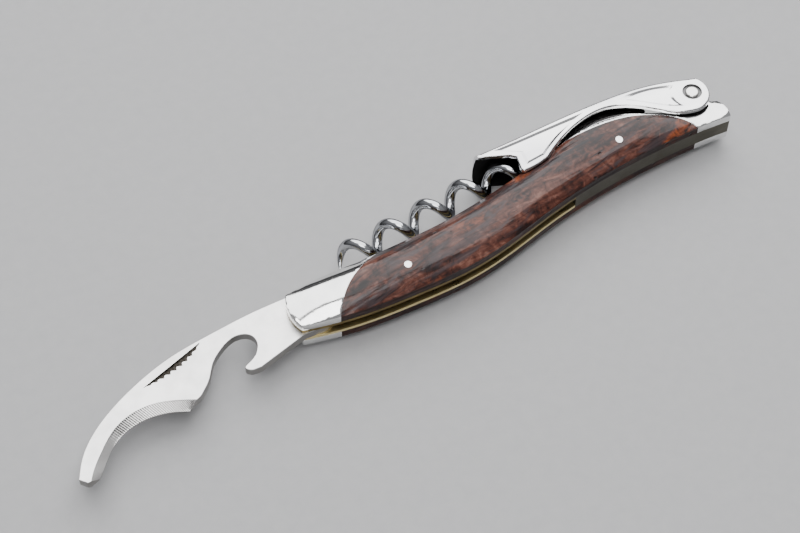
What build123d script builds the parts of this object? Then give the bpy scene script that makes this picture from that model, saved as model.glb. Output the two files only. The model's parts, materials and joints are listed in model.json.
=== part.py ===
"""Waiter's knife corkscrew: a folding handle with a foil blade, a swinging worm and a bottle lever.

The knife lies on its lower scale. +X runs along the handle to the lever's pivot end, +Y to the back
where the worm and the lever fold down, +Z up through the thickness. The origin is on the flat land
of the lower scale. The blade stands open along -X, the worm and the lever are folded. Millimetres.
"""
import os
from math import cos, radians, sin, sqrt

from build123d import *

os.makedirs("parts", exist_ok=True)

# ---------------------------------------------------------------- driving dimensions
handle_length = 117.4       # front bolster to tail
slot_width = 2.4            # gap between the liners, and thickness of the back spring
liner_thickness = 0.8
scale_thickness = 4.5       # scale or bolster, from the liner to the flat land on its crown
edge_wall = 2.0             # straight wall of a scale under its dome
land_depth = 0.03           # how far the flat land is cut below the full dome
corner_radius = 0.8         # rounding of the handle's front corners, in plan

blade_thickness = 2.2
blade_reach = 64.3          # blade pivot to the tip
tang_radius = 4.4
nick_depth = 0.5            # thumbnail groove in the upper face

wire_diameter = 2.4
coil_radius = 2.63          # worm axis to wire centre
coil_pitch = 10.17
coil_turns = 4.78
coil_slope = 7.8            # degrees between the worm axis and the handle
coil_lift = 1.05            # the coil's axis lies this much further back than the hub's socket
bend_turns = 1.25           # turns over which the coil comes down to the socket
point_turns = 0.45          # length of the sharpened point, in turns
point_radius = 0.25
hub_neck = 5.8              # worm pivot to the end of the wire
hub_wall = 1.8              # steel around the worm pin
socket_wall = 0.45          # steel around the end of the wire

lever_half_width = 6.4
cheek_thickness = 1.1
web_thickness = 0.8
bend_radius = 1.5           # outer radius where the web turns into a cheek
lip_radius = 0.45           # rounding of a cheek's outer rim
dish_depth = 0.3            # depth of the shallow dishes inside each cheek's raised rim
dish_floor = 0.8            # size of a dish's floor against its outline
eye_boss = 4.9              # radius of the raised boss round the eye
nose_bow = 1.3              # how far the web's front end bows out between the cheeks
head_recess = 0.55          # depth of the recess round each lever pin head
recess_radius = 2.35
head_flange = 0.4           # how much wider the lever pin's head is than its shank
head_rounding = 0.4

blade_pin_radius = 1.3
worm_pin_radius = 1.1
lever_pin_radius = 1.2
scale_pin_radius = 0.85
rivet_radius = 0.8

running_fit = 0.05          # radial clearance of a turning joint
set_fit = 0.02              # radial clearance of a riveted pin
worm_gap = 0.3              # room around the worm where it lies on the handle
side_gap = 0.1              # room beside a part that swings in the slot
tip_gap = 3.0               # room past the folded blade's tip
tongue_gap = 0.25           # room between the blade's tang and the spring's tongue
ear_wall = 2.2              # steel around the worm pin in the liners and bolsters
eye_wall = 2.8              # steel around the lever pin in the tail
worm_ear_height = 1.4       # thickness of the worm ears on the rear bolsters
tongue_setback = 0.5        # front end of the spring, behind the blade pivot
tongue_land = 3.5           # flat part of the spring's tongue

# ---------------------------------------------------------------- derived levels and places
design_length = 117.4       # the handle length that the outline stations are written for
stretch = handle_length / design_length
design_reach = 64.3         # the blade reach that the blade's outline is written for
blade_stretch = blade_reach / design_reach
design_coil = 7.66          # the coil diameter that the lever's back is written for
ridge_lift = 2 * coil_radius + wire_diameter - design_coil
beyond = 200.0              # past every end of the knife, for cuts that clear a whole side
slot_half = slot_width / 2
liner_top = slot_half + liner_thickness
handle_half = liner_top + scale_thickness
mid_plane = Plane.XY.offset(handle_half)


def at(x, y):
    """A point of the plan, moved along with the handle's length."""
    return (x * stretch, y)


blade_pivot = at(-49.5, -3.35)
worm_pivot = at(15.5, 11.05)
eye_place = (56.0, 11.2)
lever_pivot = at(*eye_place)
front_pin_place = at(-26.9, -4.0)
rear_pin_place = at(33.2, 6.3)
slot_end = blade_pivot[0] + blade_reach + tip_gap

# Handle stations: x, belly edge, back edge, height of the dome above the mid-plane
crown_full = handle_half + land_depth
stations = [
    (-54.3, -7.1, 1.9, crown_full - 1.65),
    (-47.0, -8.5, 2.75, crown_full - 0.65),
    (-38.0, -9.4, 3.0, crown_full - 0.1),
    (-27.0, -9.55, 3.45, crown_full),
    (-14.0, -9.0, 4.45, crown_full),
    (-2.0, -6.7, 6.45, crown_full),
    (10.0, -3.3, 9.35, crown_full),
    (20.0, -0.95, 12.75, crown_full),
    (30.0, 0.7, 15.95, crown_full),
    (40.0, 1.8, 14.75, crown_full - 0.4),
    (49.0, 2.4, 10.3, crown_full - 1.5),
    (59.0, 2.5, 8.5, crown_full - 2.1),
]


# ---------------------------------------------------------------- shared outlines (plan view)
with BuildSketch(Plane.XY) as handle_outline:
    with BuildLine():
        belly = Spline(*[at(x, low) for x, low, high, crown in stations])
        tail_edge = Line(belly @ 1, at(61.7, 2.4))
        tail = ThreePointArc(tail_edge @ 1, at(61.8, 5.0), at(60.8, 7.7))
        back = Spline(*[at(x, high) for x, low, high, crown in reversed(stations)])
        Line(tail @ 1, back @ 0)
        ThreePointArc(back @ 1, at(-55.5, -2.9), belly @ 0)
    make_face()
    fillet(handle_outline.vertices().sort_by(Axis.X)[:2], radius=corner_radius)

with BuildSketch(Plane.XY) as front_region:
    with BuildLine():
        joint = Spline(
            at(-27.0, 5.4), at(-31.0, 3.3), at(-36.0, 0.7), at(-40.5, -2.5), at(-44.4, -6.8), at(-47.0, -11.5))
        Polyline(joint @ 1, at(-60.0, -11.5), at(-60.0, 5.4), joint @ 0)
    make_face()

with BuildSketch(Plane.XY) as rear_region:
    with BuildLine():
        rim = Spline(
            at(10.3, 11.5), at(12.3, 9.8), at(15.5, 9.7), at(19.6, 11.4), at(26.1, 12.3), at(34.0, 12.2),
            at(41.0, 11.1), at(46.5, 8.9), at(50.7, 5.6), at(53.2, 1.5))
        Polyline(rim @ 1, at(70.0, 1.5), at(70.0, 25.0), at(10.3, 25.0), rim @ 0)
    make_face()

with BuildSketch(Plane.XY) as worm_ear:
    with Locations(worm_pivot):
        Circle(worm_pin_radius + ear_wall)
with BuildSketch(Plane.XY) as lever_ear:
    with Locations(lever_pivot):
        Circle(lever_pin_radius + eye_wall)


# ---------------------------------------------------------------- the dome over each half
dome_margin = 0.5           # the dome runs this far past the outline, so the outline trims it
dome_base = 1.0
dome_front = -57.0          # the end stations are repeated here, clear of the handle
dome_rear = 63.0
dome_edge = liner_top + edge_wall


def dome_section(x, low, high, crown):
    """Arc over one station, as a closed face across the handle."""
    centre = (low + high) / 2
    half = (high - low) / 2
    rise = crown - dome_edge
    radius = (half ** 2 + rise ** 2) / (2 * rise)
    reach = half + dome_margin
    foot = crown - radius + sqrt(radius ** 2 - reach ** 2)
    with BuildSketch(Plane.YZ.offset(x * stretch).shift_origin((x * stretch, 0, handle_half))) as section:
        with BuildLine():
            arc = ThreePointArc((centre - reach, foot), (centre, crown), (centre + reach, foot))
            Polyline(arc @ 1, (centre + reach, dome_base), (centre - reach, dome_base), arc @ 0)
        make_face()
    return section.sketch


with BuildPart() as dome:
    add(dome_section(dome_front, *stations[0][1:]))
    for station in stations:
        add(dome_section(*station))
    add(dome_section(dome_rear, *stations[-1][1:]))
    loft()


# ---------------------------------------------------------------- worm place and clearances
axis_angle = radians(coil_slope)
axis_direction = Vector(cos(axis_angle), sin(axis_angle), 0)
axis_normal = Vector(-sin(axis_angle), cos(axis_angle), 0)
# the wire leaves the hub at the belly side of the coil, one hub neck in front of the pivot
wire_end = Vector(*worm_pivot, handle_half) - axis_direction * hub_neck
coil_end = wire_end + axis_normal * (coil_radius + coil_lift)
coil_start = coil_end - axis_direction * (coil_pitch * coil_turns)
coil_outer = coil_radius + wire_diameter / 2
start_phase = 180.0 - 360.0 * coil_turns
hidden_turns = 0.46         # turns of the point that stand clear in front of the bed
bed_overrun = 1.0           # the beds run on this far past the coil
bed_length = coil_pitch * (coil_turns - hidden_turns)
bend_start = coil_end - axis_direction * (coil_pitch * bend_turns)
sunk_end = coil_end - axis_normal * coil_lift
bend_direction = (sunk_end - bend_start).normalized()

with BuildPart() as worm_bed:
    with BuildSketch(Plane(origin=coil_end - axis_direction * bed_length, z_dir=axis_direction)):
        Circle(coil_outer + worm_gap)
    extrude(amount=bed_length - coil_pitch * bend_turns / 2)
    with BuildSketch(Plane(origin=bend_start, z_dir=bend_direction)):
        Circle(coil_outer + worm_gap)
    extrude(amount=(sunk_end - bend_start).length + bed_overrun)

socket_radius = wire_diameter / 2 + socket_wall
socket_depth = 1.5          # how far the wire's end stands inside its socket
socket_length = 4.0
with BuildPart() as socket_bed:
    with BuildSketch(Plane(origin=wire_end - axis_direction * (socket_depth + side_gap), z_dir=axis_direction)):
        Circle(socket_radius + worm_gap)
    extrude(amount=socket_length + 2 * side_gap + socket_depth)


# ---------------------------------------------------------------- handle: scales and bolsters
channel_half = lever_half_width - cheek_thickness
ear_gap = 0.15              # room between a tail ear and the lever's cheek
ear_seat = channel_half - ear_gap
seat_radius = 7.0           # flat round the lever pivot, clear of the turning eye
# the boot of the folded lever straddles the handle here, so the dome is eased under its cheeks
boot_gap = 0.3
boot_seat = channel_half - boot_gap
with BuildPart() as boot_relief:
    with BuildSketch(mid_plane.offset(boot_seat)):
        with BuildLine():
            Polyline(at(8.2, 7.6), at(12.6, 7.85), at(16.2, 8.75), at(19.0, 10.8), at(19.0, 14.0), at(8.2, 14.0),
                     close=True)
        make_face()
    extrude(amount=scale_thickness)

rivets_front = [at(-52.3, -5.6), at(-41.0, 0.6)]
rivets_rear = [at(29.5, 14.0), at(45.0, 10.95)]
rivet_reach = 1.6

with BuildPart() as upper_scale:
    with BuildSketch(mid_plane.offset(liner_top)):
        add(handle_outline.sketch)
        add(front_region.sketch, mode=Mode.SUBTRACT)
        add(rear_region.sketch, mode=Mode.SUBTRACT)
    extrude(amount=scale_thickness)
    add(dome.part, mode=Mode.INTERSECT)
    add(boot_relief.part, mode=Mode.SUBTRACT)
    add(worm_bed.part, mode=Mode.SUBTRACT)
    with BuildSketch(mid_plane):
        with Locations(front_pin_place, rear_pin_place):
            Circle(scale_pin_radius + set_fit)
    extrude(amount=handle_half, mode=Mode.SUBTRACT)

with BuildPart() as upper_front_bolster:
    with BuildSketch(mid_plane.offset(liner_top)):
        add(handle_outline.sketch)
        add(front_region.sketch, mode=Mode.INTERSECT)
    extrude(amount=scale_thickness)
    add(dome.part, mode=Mode.INTERSECT)
    add(worm_bed.part, mode=Mode.SUBTRACT)
    with BuildSketch(mid_plane):
        with Locations(*rivets_front):
            Circle(rivet_radius + set_fit)
    extrude(amount=liner_top + rivet_reach, mode=Mode.SUBTRACT)
    with BuildSketch(mid_plane):
        with Locations(blade_pivot):
            Circle(blade_pin_radius + set_fit)
    extrude(amount=liner_top + rivet_reach, mode=Mode.SUBTRACT)

with BuildPart() as upper_rear_bolster:
    with BuildSketch(mid_plane.offset(liner_top)):
        add(handle_outline.sketch)
        add(rear_region.sketch, mode=Mode.INTERSECT)
    extrude(amount=scale_thickness)
    add(dome.part, mode=Mode.INTERSECT)
    with BuildSketch(mid_plane.offset(liner_top)):
        add(worm_ear.sketch)
        add(rear_region.sketch, mode=Mode.INTERSECT)
    extrude(amount=worm_ear_height)
    with BuildSketch(mid_plane.offset(liner_top)):
        add(lever_ear.sketch)
    extrude(amount=ear_seat - liner_top)
    with BuildSketch(mid_plane.offset(ear_seat)):
        with Locations(lever_pivot):
            Circle(seat_radius)
    extrude(amount=scale_thickness, mode=Mode.SUBTRACT)
    add(boot_relief.part, mode=Mode.SUBTRACT)
    add(worm_bed.part, mode=Mode.SUBTRACT)
    with BuildSketch(mid_plane):
        with Locations(worm_pivot):
            Circle(worm_pin_radius + set_fit)
        with Locations(lever_pivot):
            Circle(lever_pin_radius + set_fit)
    extrude(amount=handle_half, mode=Mode.SUBTRACT)
    with BuildSketch(mid_plane):
        with Locations(*rivets_rear):
            Circle(rivet_radius + set_fit)
    extrude(amount=liner_top + rivet_reach, mode=Mode.SUBTRACT)

with BuildPart() as lower_scale:
    mirror(upper_scale.part, about=mid_plane)
with BuildPart() as lower_front_bolster:
    mirror(upper_front_bolster.part, about=mid_plane)
with BuildPart() as lower_rear_bolster:
    mirror(upper_rear_bolster.part, about=mid_plane)

# ---------------------------------------------------------------- handle: liners, tail plates, spring
with BuildSketch(Plane.XY) as behind_slot:
    with Locations((slot_end, 0)):
        Rectangle(beyond, beyond, align=(Align.MIN, Align.CENTER))

with BuildPart() as upper_liner:
    with BuildSketch(mid_plane.offset(slot_half)):
        add(handle_outline.sketch)
        add(worm_ear.sketch)
        add(behind_slot.sketch, mode=Mode.SUBTRACT)
        with Locations(front_pin_place):
            Circle(scale_pin_radius + set_fit, mode=Mode.SUBTRACT)
        with Locations(blade_pivot):
            Circle(blade_pin_radius + set_fit, mode=Mode.SUBTRACT)
        with Locations(worm_pivot):
            Circle(worm_pin_radius + set_fit, mode=Mode.SUBTRACT)
        with Locations(*rivets_front):
            Circle(rivet_radius + set_fit, mode=Mode.SUBTRACT)
    extrude(amount=liner_thickness)
    add(worm_bed.part, mode=Mode.SUBTRACT)
    add(socket_bed.part, mode=Mode.SUBTRACT)

with BuildPart() as upper_tail_plate:
    with BuildSketch(mid_plane.offset(slot_half)):
        add(handle_outline.sketch)
        add(worm_ear.sketch)
        add(lever_ear.sketch)
        add(behind_slot.sketch, mode=Mode.INTERSECT)
        with Locations(rear_pin_place):
            Circle(scale_pin_radius + set_fit, mode=Mode.SUBTRACT)
        with Locations(lever_pivot):
            Circle(lever_pin_radius + set_fit, mode=Mode.SUBTRACT)
        with Locations(*rivets_rear):
            Circle(rivet_radius + set_fit, mode=Mode.SUBTRACT)
    extrude(amount=liner_thickness)

with BuildPart() as lower_liner:
    mirror(upper_liner.part, about=mid_plane)
with BuildPart() as lower_tail_plate:
    mirror(upper_tail_plate.part, about=mid_plane)

hub_radius = worm_pin_radius + hub_wall
spring_front = blade_pivot[0] + tongue_setback
tongue_foot = blade_pivot[1] + tang_radius + tongue_gap
with BuildPart() as back_spring:
    with BuildSketch(mid_plane.offset(-slot_half)):
        add(handle_outline.sketch)
        add(lever_ear.sketch)
        with BuildLine():
            under = Spline(
                (spring_front, tongue_foot), (spring_front + tongue_land, tongue_foot), at(-41.0, 1.2),
                at(-25.0, 1.25), at(-10.0, 1.5), at(2.0, 2.9), (slot_end, 4.6))
            Polyline(under @ 1, (slot_end, -beyond), (spring_front, -beyond), under @ 0)
        make_face(mode=Mode.SUBTRACT)
        with Locations((spring_front, 0)):
            Rectangle(beyond, beyond, align=(Align.MAX, Align.CENTER), mode=Mode.SUBTRACT)
        with Locations(worm_pivot):
            Circle(hub_radius + worm_gap, mode=Mode.SUBTRACT)
        with Locations(rear_pin_place):
            Circle(scale_pin_radius + set_fit, mode=Mode.SUBTRACT)
        with Locations(lever_pivot):
            Circle(lever_pin_radius + set_fit, mode=Mode.SUBTRACT)
        with Locations(*rivets_rear):
            Circle(rivet_radius + set_fit, mode=Mode.SUBTRACT)
    extrude(amount=slot_width)
    add(worm_bed.part, mode=Mode.SUBTRACT)
    add(socket_bed.part, mode=Mode.SUBTRACT)

# ---------------------------------------------------------------- handle: pins and rivets
def through_pin(place, radius, half_length):
    """Straight pin centred on the mid-plane."""
    with BuildPart() as pin:
        with BuildSketch(mid_plane.offset(-half_length)):
            with Locations(place):
                Circle(radius)
        extrude(amount=2 * half_length)
    return pin.part


def domed_over(pin_part):
    """The upper half of a pin, trimmed flush with the dome, and its mirror image."""
    with BuildPart() as upper:
        add(pin_part)
        add(dome.part, mode=Mode.INTERSECT)
    return upper.part


with BuildPart() as front_scale_pin:
    add(through_pin(front_pin_place, scale_pin_radius, liner_top))
    add(domed_over(through_pin(front_pin_place, scale_pin_radius, handle_half)))
    mirror(about=mid_plane)

with BuildPart() as rear_scale_pin:
    add(through_pin(rear_pin_place, scale_pin_radius, liner_top))
    add(domed_over(through_pin(rear_pin_place, scale_pin_radius, handle_half)))
    mirror(about=mid_plane)

with BuildPart() as blade_pivot_pin:
    add(through_pin(blade_pivot, blade_pin_radius, liner_top + rivet_reach))

with BuildPart() as worm_pivot_pin:
    add(through_pin(worm_pivot, worm_pin_radius, liner_top + worm_ear_height))

with BuildPart() as front_bolster_rivets:
    with BuildSketch(mid_plane.offset(slot_half)):
        with Locations(*rivets_front):
            Circle(rivet_radius)
    extrude(amount=liner_thickness + rivet_reach)
    mirror(about=mid_plane)

with BuildPart() as rear_bolster_rivets:
    for rivet_place in rivets_rear:
        add(through_pin(rivet_place, rivet_radius, liner_top + rivet_reach))

# ---------------------------------------------------------------- blade

def on_blade(x, y):
    """A point of the blade outline, measured from its pivot and moved along with the blade's reach."""
    return (blade_pivot[0] + x * blade_stretch, blade_pivot[1] + y)


with BuildPart() as blade:
    with BuildSketch(mid_plane.offset(-blade_thickness / 2)):
        with BuildLine():
            spine = Spline(
                on_blade(-3.8, 6.45), on_blade(-13.2, 6.1), on_blade(-23.3, 4.95), on_blade(-33.5, 3.25),
                on_blade(-44.4, -0.65), on_blade(-53.9, -6.15), on_blade(-59.8, -12.25), on_blade(-62.0, -16.45))
            end_cut = Polyline(spine @ 1, on_blade(-60.6, -17.95), on_blade(-57.8, -17.65))
            edge = Spline(
                end_cut @ 1, on_blade(-55.9, -15.25), on_blade(-52.2, -11.55), on_blade(-47.8, -9.35),
                on_blade(-42.9, -8.85), on_blade(-38.7, -9.65), on_blade(-34.6, -11.15))
            heel = Spline(edge @ 1, on_blade(-31.2, -10.15), on_blade(-28.6, -6.75), on_blade(-25.6, -2.25),
                          on_blade(-21.6, 0.95))
            hook = ThreePointArc(heel @ 1, on_blade(-15.5, 0.15), on_blade(-16.3, -4.25))
            Polyline(hook @ 1, on_blade(-19.7, -6.25), on_blade(-19.4, -7.05), on_blade(-16.8, -7.95),
                     on_blade(-4.5, -4.25), on_blade(-0.8, -3.25), blade_pivot, spine @ 0)
        make_face()
        with Locations(blade_pivot):
            Circle(tang_radius)
            Circle(blade_pin_radius + running_fit, mode=Mode.SUBTRACT)
    extrude(amount=blade_thickness)
    with BuildSketch(mid_plane.offset(blade_thickness / 2)):
        with BuildLine():
            nick = Line(on_blade(-41.7, -1.45), on_blade(-26.3, 3.95))
            ThreePointArc(nick @ 1, on_blade(-33.2, 0.15), nick @ 0)
        make_face()
    extrude(amount=-nick_depth, mode=Mode.SUBTRACT)

# ---------------------------------------------------------------- worm and its hub
def coil_frame(turns):
    """Plane across the worm's axis that starts so many turns up the coil."""
    phase = radians(start_phase + 360 * turns)
    return Plane(
        origin=coil_start + axis_direction * (coil_pitch * turns),
        x_dir=axis_normal * cos(phase) + Vector(0, 0, sin(phase)),
        z_dir=axis_direction)


def bend_point(turns):
    """Centre of the wire in the bend, so many turns up the coil."""
    share = (turns - coil_turns) / bend_turns + 1
    sink = coil_lift * share ** 2 * (3 - 2 * share)
    across = coil_frame(turns)
    return across.origin + across.x_dir * coil_radius - axis_normal * sink


straight_turns = coil_turns - point_turns - bend_turns
with BuildPart() as coil_wire:
    with BuildLine() as coil_path:
        Helix(pitch=coil_pitch, height=coil_pitch * straight_turns, radius=coil_radius)
    with BuildSketch(Plane(origin=coil_path.line @ 0, z_dir=coil_path.line % 0)):
        Circle(wire_diameter / 2)
    sweep(is_frenet=True)

with BuildPart() as coil_point:
    with BuildLine() as point_path:
        Helix(pitch=coil_pitch, height=coil_pitch * point_turns, radius=coil_radius)
    with BuildSketch(Plane(origin=point_path.line @ 0, z_dir=point_path.line % 0)):
        Circle(point_radius)
    with BuildSketch(Plane(origin=point_path.line @ 1, z_dir=point_path.line % 1)):
        Circle(wire_diameter / 2)
    sweep(multisection=True, is_frenet=True)

bend_steps = 20
with BuildPart() as coil_bend:
    with BuildLine() as bend_path:
        bend_turn = [coil_turns - bend_turns * (1 - step / bend_steps) for step in range(bend_steps + 1)]
        Spline(*[bend_point(turns) for turns in bend_turn])
    with BuildSketch(Plane(origin=bend_path.line @ 0, z_dir=bend_path.line % 0)):
        Circle(wire_diameter / 2)
    sweep()

with BuildPart() as worm:
    add(coil_wire.part.moved(coil_frame(point_turns).location))
    add(coil_point.part.moved(coil_frame(0).location))
    add(coil_bend.part)

neck_root = 1.6             # half width of the hub's neck at the pivot, and at the wire
neck_tip = 1.0
with BuildPart() as worm_hub:
    with BuildSketch(mid_plane.offset(side_gap - slot_half)):
        with Locations(worm_pivot):
            Circle(hub_radius)
        with BuildLine():
            Polyline(
                (wire_end.X, wire_end.Y - neck_tip), (worm_pivot[0], worm_pivot[1] - neck_root),
                (worm_pivot[0], worm_pivot[1] + neck_root), (wire_end.X, wire_end.Y + neck_tip), close=True)
        make_face()
        with Locations(worm_pivot):
            Circle(worm_pin_radius + running_fit, mode=Mode.SUBTRACT)
    extrude(amount=slot_width - 2 * side_gap)
    with BuildSketch(Plane(origin=wire_end - axis_direction * socket_depth, z_dir=axis_direction)):
        Circle(socket_radius)
    extrude(amount=socket_length)

# ---------------------------------------------------------------- lever
nose_start = 1.2            # x of the web's front corners
nose_top = 17.25
ridge_points = [
    (1.9, 17.3 + ridge_lift), (13.0, 17.85 + ridge_lift), (24.4, 18.6 + ridge_lift), (35.3, 18.95 + ridge_lift),
    (46.1, 18.4 + ridge_lift / 2), (54.5, 16.6)]


def lever_ridge(drop):
    """Points of the lever's back, lowered by drop."""
    return [at(x, y - drop) for x, y in ridge_points]


def back_section(x, top):
    """Section of the lever's block at one station: a rectangle with its two back corners rounded."""
    side = lever_half_width
    with BuildSketch(Plane.YZ.offset(x * stretch).shift_origin((x * stretch, 0, handle_half))) as section:
        with BuildLine():
            low_side = Line((0, -side), (top - bend_radius, -side))
            low_bend = RadiusArc(low_side @ 1, (top, bend_radius - side), -bend_radius)
            crest = Line(low_bend @ 1, (top, side - bend_radius))
            high_bend = RadiusArc(crest @ 1, (top - bend_radius, side), -bend_radius)
            high_side = Line(high_bend @ 1, (0, side))
            Line(high_side @ 1, low_side @ 0)
        make_face()
    return section.sketch


with BuildPart() as lever_block:
    add(back_section(-2.0, 17.1 + ridge_lift))
    for x, top in ridge_points:
        add(back_section(x, top))
    add(back_section(62.0, 14.6))
    loft()

with BuildSketch(Plane.XY) as cheek:
    with BuildLine():
        ridge = Spline(at(nose_start + 0.7 - nose_bow, nose_top + ridge_lift), *lever_ridge(0))
        eye = ThreePointArc(ridge @ 1, at(60.1, 11.2), at(55.0, 6.0))
        lower = Spline(eye @ 1, at(50.4, 7.2), at(43.0, 12.6), at(35.0, 16.0), at(28.0, 15.2), at(20.8, 12.2),
                       at(15.9, 9.1))
        tooth = ThreePointArc(lower @ 1, at(12.6, 8.2), at(9.4, 7.9))
        nose = ThreePointArc(tooth @ 1, at(8.7, 8.2), at(8.5, 9.0))
        Polyline(
            nose @ 1, at(9.1, 12.4), at(7.9, 13.4), at(nose_start, 15.9 + ridge_lift),
            at(nose_start - nose_bow, 16.4 + ridge_lift), ridge @ 0)
    make_face()


def drawn_in(middle, share):
    """Function that gives a plan point drawn in towards the middle, to a share of its distance."""
    return lambda x, y: at(middle[0] + share * (x - middle[0]), middle[1] + share * (y - middle[1]))


def boot_dish(level, share):
    """Outline of the dish in the boot's cheek."""
    near = drawn_in((15.0, 13.6), share)
    with BuildSketch(level) as outline:
        with BuildLine():
            top = Spline(near(5.0, 16.1), near(13.0, 16.35), near(22.0, 16.75), near(29.5, 17.0))
            low = Spline(top @ 1, near(24.5, 15.1), near(19.5, 12.6), near(15.2, 9.9))
            Polyline(low @ 1, near(10.2, 9.2), near(10.6, 12.9), near(8.6, 14.1), top @ 0)
        make_face()
    return outline.sketch


def neck_dish(level, share):
    """Outline of the dish that runs into the boss round the eye."""
    near = drawn_in((48.5, 13.8), share)
    boss = [(eye_place[0] + eye_boss * cos(radians(angle)), eye_place[1] + eye_boss * sin(radians(angle)))
            for angle in (130, 175, 215)]
    with BuildSketch(level) as outline:
        with BuildLine():
            top = Spline(near(38.5, 16.9), near(45.5, 16.9), near(*boss[0]))
            end = ThreePointArc(top @ 1, near(*boss[1]), near(*boss[2]))
            Spline(end @ 1, near(47.5, 10.7), near(43.5, 13.7), top @ 0)
        make_face()
    return outline.sketch


def dish(outline, side):
    """Shallow dish in the upper (1) or lower (-1) cheek: its walls slope in to a smaller floor."""
    with BuildPart() as cut:
        add(outline(mid_plane.offset(side * lever_half_width), 1))
        add(outline(mid_plane.offset(side * (lever_half_width - dish_depth)), dish_floor))
        loft(ruled=True)
    return cut.part


web_end = at(47.5, 0)[0]
head_radius = lever_pin_radius + head_flange
with BuildPart() as lever:
    with BuildSketch(mid_plane.offset(-lever_half_width)):
        add(cheek.sketch)
    extrude(amount=2 * lever_half_width)
    add(lever_block.part, mode=Mode.INTERSECT)
    with BuildSketch(Plane.XZ.shift_origin((0, 0, handle_half))):
        with BuildLine():
            bow = ThreePointArc(
                at(nose_start, lever_half_width), at(nose_start - nose_bow, 0), at(nose_start, -lever_half_width))
            Polyline(bow @ 1, (-beyond, -lever_half_width), (-beyond, lever_half_width), bow @ 0)
        make_face()
    extrude(amount=-beyond, mode=Mode.SUBTRACT)
    flats = lever.faces().filter_by(Plane.XY).sort_by(Axis.Z)
    fillet([edge for flat in (flats[0], flats[-1]) for edge in flat.edges().sort_by(Axis.Y)[:-1]], radius=lip_radius)
    with BuildSketch(mid_plane.offset(-channel_half)):
        with BuildLine():
            under_web = Spline(
                at(nose_start - nose_bow, nose_top + ridge_lift - web_thickness), *lever_ridge(web_thickness))
            Polyline(under_web @ 1, (beyond, 16), (beyond, 0), (-beyond, 0), (-beyond, 16), under_web @ 0)
        make_face()
        with Locations((web_end, 0)):
            Rectangle(beyond, beyond, align=(Align.MIN, Align.CENTER))
    extrude(amount=2 * channel_half, mode=Mode.SUBTRACT)
    for side in (1, -1):
        for outline in (boot_dish, neck_dish):
            add(dish(outline, side), mode=Mode.SUBTRACT)
        with BuildSketch(mid_plane.offset(side * lever_half_width)):
            with Locations(lever_pivot):
                Circle(recess_radius)
        extrude(amount=-side * head_recess, mode=Mode.SUBTRACT)
    with BuildSketch(mid_plane.offset(-lever_half_width)):
        with Locations(lever_pivot):
            Circle(lever_pin_radius + running_fit)
    extrude(amount=2 * lever_half_width, mode=Mode.SUBTRACT)

head_foot = lever_half_width - head_recess + running_fit
with BuildPart() as lever_pivot_pin:
    add(through_pin(lever_pivot, lever_pin_radius, head_foot))
    with BuildSketch(mid_plane.offset(head_foot)):
        with Locations(lever_pivot):
            Circle(head_radius)
    extrude(amount=handle_half - head_foot)
    mirror(about=mid_plane)
    rims = lever_pivot_pin.edges().filter_by(GeomType.CIRCLE).sort_by(Axis.Z)
    fillet([rims[0], rims[-1]], radius=head_rounding)

# ---------------------------------------------------------------- write the pieces
pieces = {
    "upper_scale": upper_scale, "lower_scale": lower_scale,
    "upper_front_bolster": upper_front_bolster, "lower_front_bolster": lower_front_bolster,
    "upper_rear_bolster": upper_rear_bolster, "lower_rear_bolster": lower_rear_bolster,
    "upper_liner": upper_liner, "lower_liner": lower_liner,
    "upper_tail_plate": upper_tail_plate, "lower_tail_plate": lower_tail_plate,
    "back_spring": back_spring,
    "front_scale_pin": front_scale_pin, "rear_scale_pin": rear_scale_pin,
    "blade_pivot_pin": blade_pivot_pin, "worm_pivot_pin": worm_pivot_pin, "lever_pivot_pin": lever_pivot_pin,
    "front_bolster_rivets": front_bolster_rivets, "rear_bolster_rivets": rear_bolster_rivets,
    "blade": blade, "worm": worm, "worm_hub": worm_hub, "lever": lever,
}
for piece_name, piece in pieces.items():
    piece.part.label = piece_name
    export_step(piece.part, f"parts/{piece_name}.step")
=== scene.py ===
"""Looks of the waiter's knife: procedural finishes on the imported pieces, softened bolsters, and a ground
blade and a smooth worm that stand for their CAD nodes. Lengths are millimetres, unless a comment differs."""

import json
import math

import bmesh
import bpy
import numpy as np
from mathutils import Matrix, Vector


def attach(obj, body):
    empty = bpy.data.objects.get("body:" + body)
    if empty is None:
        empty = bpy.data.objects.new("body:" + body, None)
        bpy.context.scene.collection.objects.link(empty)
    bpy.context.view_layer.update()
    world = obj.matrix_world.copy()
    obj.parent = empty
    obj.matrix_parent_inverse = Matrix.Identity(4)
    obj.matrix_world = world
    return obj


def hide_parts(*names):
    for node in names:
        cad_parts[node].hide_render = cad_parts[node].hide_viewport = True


MM = 0.001
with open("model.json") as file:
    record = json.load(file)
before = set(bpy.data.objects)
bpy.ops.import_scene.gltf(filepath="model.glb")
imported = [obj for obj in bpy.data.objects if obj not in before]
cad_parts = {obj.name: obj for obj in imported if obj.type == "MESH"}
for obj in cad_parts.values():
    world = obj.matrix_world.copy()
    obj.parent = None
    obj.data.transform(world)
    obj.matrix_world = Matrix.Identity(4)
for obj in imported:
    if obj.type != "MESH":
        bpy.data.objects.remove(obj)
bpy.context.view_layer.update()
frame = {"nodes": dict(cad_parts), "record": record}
nodes = frame["nodes"]
record = frame["record"]
joints = {joint["name"]: Vector(joint["pos_m"]) / MM for joint in record["behaviour"]["joints"]}
mid_height = joints["blade_fold"].z


# ---------------------------------------------------------------- camera
CAMERA_TARGET = Vector((-26.85, 0.18, 6.5))
CAMERA_BEARING = math.radians(64.0)
CAMERA_ELEVATION = math.radians(55.5)
CAMERA_DISTANCE = 420.0
CAMERA_LENS = 83.25
SENSOR_WIDTH = 36.0


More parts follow.
